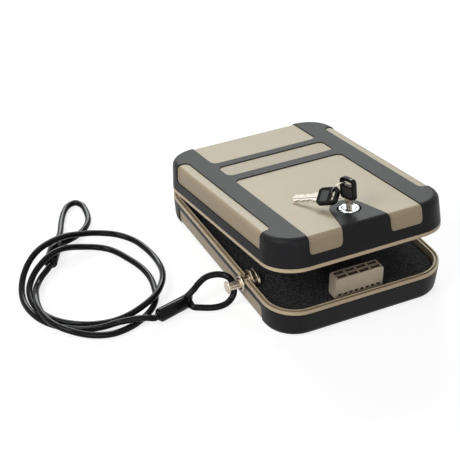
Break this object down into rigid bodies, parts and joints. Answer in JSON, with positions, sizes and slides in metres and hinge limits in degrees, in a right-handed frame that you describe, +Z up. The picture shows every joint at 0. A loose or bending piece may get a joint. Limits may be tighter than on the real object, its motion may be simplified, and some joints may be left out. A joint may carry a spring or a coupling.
{
  "type": "portable car safe",
  "caption": "Flat lockable safe with rounded corners, tan panels in a dark skin, a key lock in the lid, foam inside, and a coated tether cable whose eye lies behind a stud on the side.",
  "frame": {"origin": "centre of the flat underside of the base", "axes": "+Z up, +Y towards the hinge, -Y towards the lock, the cable stud on the -X side"},
  "size_m": [0.363, 0.2934, 0.1246],
  "materials": {
    "tan_plastic": "smooth satin tan moulding",
    "dark_plastic": "fine-grained dark grey moulding",
    "keeper_plastic": "matte darker tan moulding",
    "foam": "open-cell black foam",
    "steel": "zinc-plated",
    "nickel": "satin nickel",
    "chrome": "polished",
    "black_plastic": "semi-gloss black",
    "black_vinyl": "glossy black vinyl"
  },
  "bodies": {
    "base": {"base_shell": "tan_plastic", "base_skin": "dark_plastic", "base_foam": "foam", "latch_keeper": "keeper_plastic", "keeper_screw_left": "steel", "keeper_screw_right": "steel", "hinge_pin_left": "steel", "hinge_pin_right": "steel", "cable_run": "black_vinyl", "cable_eye_near": "black_vinyl", "cable_eye_far": "black_vinyl", "ferrule_near": "black_vinyl", "ferrule_far": "black_vinyl"},
    "stud": {"cable_stud": "nickel", "stud_nut": "nickel", "stud_disc": "nickel"},
    "lid": {"lid_shell": "tan_plastic", "lid_skin": "dark_plastic", "lid_foam": "foam", "lock_housing": "chrome", "lock_nut": "steel"},
    "lock_barrel": {"lock_plug": "chrome", "lock_cam": "steel", "cam_washer": "steel", "cam_screw": "steel"},
    "key_in_lock": {"key_blade_1": "nickel", "key_head_1": "black_plastic"},
    "ring": {"key_ring": "chrome"},
    "spare_key": {"key_blade_2": "nickel", "key_head_2": "black_plastic"}
  },
  "joints": [
    {"name": "lid_hinge", "type": "hinge", "parent": "base", "child": "lid", "pos_m": [0, 0.1292, 0.0286], "axis": [-1, 0, 0], "range_deg": [-9.3, 95.7]},
    {"name": "lock_turn", "type": "hinge", "parent": "lid", "child": "lock_barrel", "pos_m": [0, -0.08346, 0.09565], "axis": [0, -0.1616, -0.9869], "range_deg": [0, 90]},
    {"name": "key_pull", "type": "slide", "parent": "lock_barrel", "child": "key_in_lock", "axis": [0, 0.1616, 0.9869], "range_m": [0, 0.022]},
    {"name": "ring_swing", "type": "hinge", "parent": "key_in_lock", "child": "ring", "pos_m": [-0.00008, -0.07715, 0.11812], "axis": [0.928, -0.0621, -0.3673], "range_deg": [0, 25]},
    {"name": "spare_key_slide", "type": "hinge", "parent": "ring", "child": "spare_key", "pos_m": [-0.00333, -0.07477, 0.10949], "axis": [0.1479, 0.9663, 0.2105], "range_deg": [0, 20]},
    {"name": "stud_spin", "type": "hinge", "parent": "base", "child": "stud", "pos_m": [-0.0906, -0.053, 0.0217], "axis": [1, 0, 0], "continuous": true}
  ]
}
